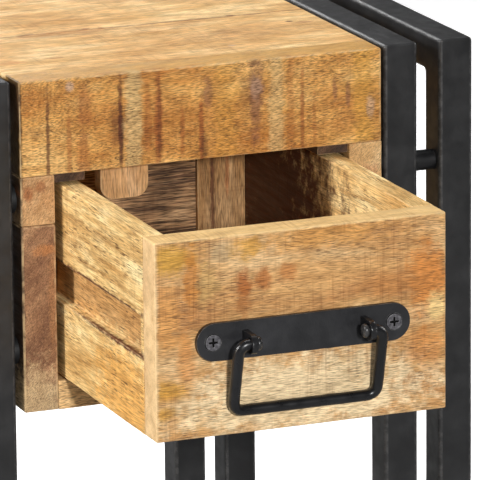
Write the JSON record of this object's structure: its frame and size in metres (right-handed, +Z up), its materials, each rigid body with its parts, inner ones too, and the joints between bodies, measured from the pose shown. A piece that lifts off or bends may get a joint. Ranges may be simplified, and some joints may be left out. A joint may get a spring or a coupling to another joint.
{
  "type": "side table with drawer",
  "caption": "Side table: a wood box with one pull-out drawer and a drop bail handle, held between square-tube steel loop frames.",
  "frame": {"origin": "centre of the bounding box's underside, on the floor, with the drawer open and its bail hanging", "axes": "+Z up; -Y towards the person using the drawer; +X to that person's right"},
  "size_m": [0.322, 0.499, 0.55],
  "materials": {
    "frame_steel": "fine-textured satin black powder coat",
    "handle_iron": "brushed-on black enamel, semi-gloss, slightly lumpy",
    "zinc_hardware": "dull grey zinc",
    "glide_plastic": "matte black",
    "mango_light": "rough-sawn, clear matt lacquer",
    "mango_mid": "rough-sawn, clear matt lacquer",
    "mango_brown": "rough-sawn heartwood, clear matt lacquer",
    "plywood": "sanded veneer, matt"
  },
  "bodies": {
    "table": {"left_outer_front_leg": "frame_steel", "left_outer_rear_leg": "frame_steel", "left_outer_top_rail": "frame_steel", "left_outer_foot_rail": "frame_steel", "left_inner_front_leg": "frame_steel", "left_inner_rear_leg": "frame_steel", "left_inner_top_rail": "frame_steel", "left_inner_foot_rail": "frame_steel", "right_inner_front_leg": "frame_steel", "right_inner_rear_leg": "frame_steel", "right_inner_top_rail": "frame_steel", "right_inner_foot_rail": "frame_steel", "right_outer_front_leg": "frame_steel", "right_outer_rear_leg": "frame_steel", "right_outer_top_rail": "frame_steel", "right_outer_foot_rail": "frame_steel", "left_frame_spacers": "frame_steel", "right_frame_spacers": "frame_steel", "floor_glides": "glide_plastic", "box_bolts": "zinc_hardware", "box_washers": "glide_plastic", "top_front_edge": "mango_mid", "top_back_edge": "mango_mid", "top_plank_front": "mango_light", "top_plank_middle": "mango_light", "top_plank_rear": "mango_light", "top_rail_left": "mango_mid", "top_rail_right": "mango_mid", "left_side_upper_board": "mango_light", "left_side_lower_board": "mango_brown", "right_side_upper_board": "mango_light", "right_side_lower_board": "mango_brown", "bottom_plank_front": "mango_mid", "bottom_plank_rear": "mango_mid", "box_back": "mango_brown", "left_kicker": "mango_mid", "right_kicker": "mango_mid", "left_runner": "mango_mid", "right_runner": "mango_mid", "stop_button_screw": "zinc_hardware"},
    "drawer": {"drawer_front": "mango_light", "drawer_left_side": "mango_light", "drawer_right_side": "mango_light", "drawer_back": "mango_brown", "drawer_bottom": "plywood", "drawer_corner_strips": "mango_light", "handle_plate": "handle_iron", "handle_lugs": "handle_iron", "handle_screws": "zinc_hardware"},
    "bail": {"handle_bail": "handle_iron"},
    "stop_button": {"stop_button": "mango_light"}
  },
  "joints": [
    {"name": "drawer_slide", "type": "slide", "parent": "table", "child": "drawer", "axis": [0, -1, 0], "range_m": [-0.1365, 0.081]},
    {"name": "bail_swing", "type": "hinge", "parent": "drawer", "child": "bail", "pos_m": [0, -0.244, 0.4365], "axis": [-1, 0, 0], "range_deg": [0, 150]},
    {"name": "stop_button_turn", "type": "hinge", "parent": "table", "child": "stop_button", "pos_m": [-0.0375, -0.0682, 0.514], "axis": [0, -1, 0], "range_deg": [0, 90]}
  ]
}
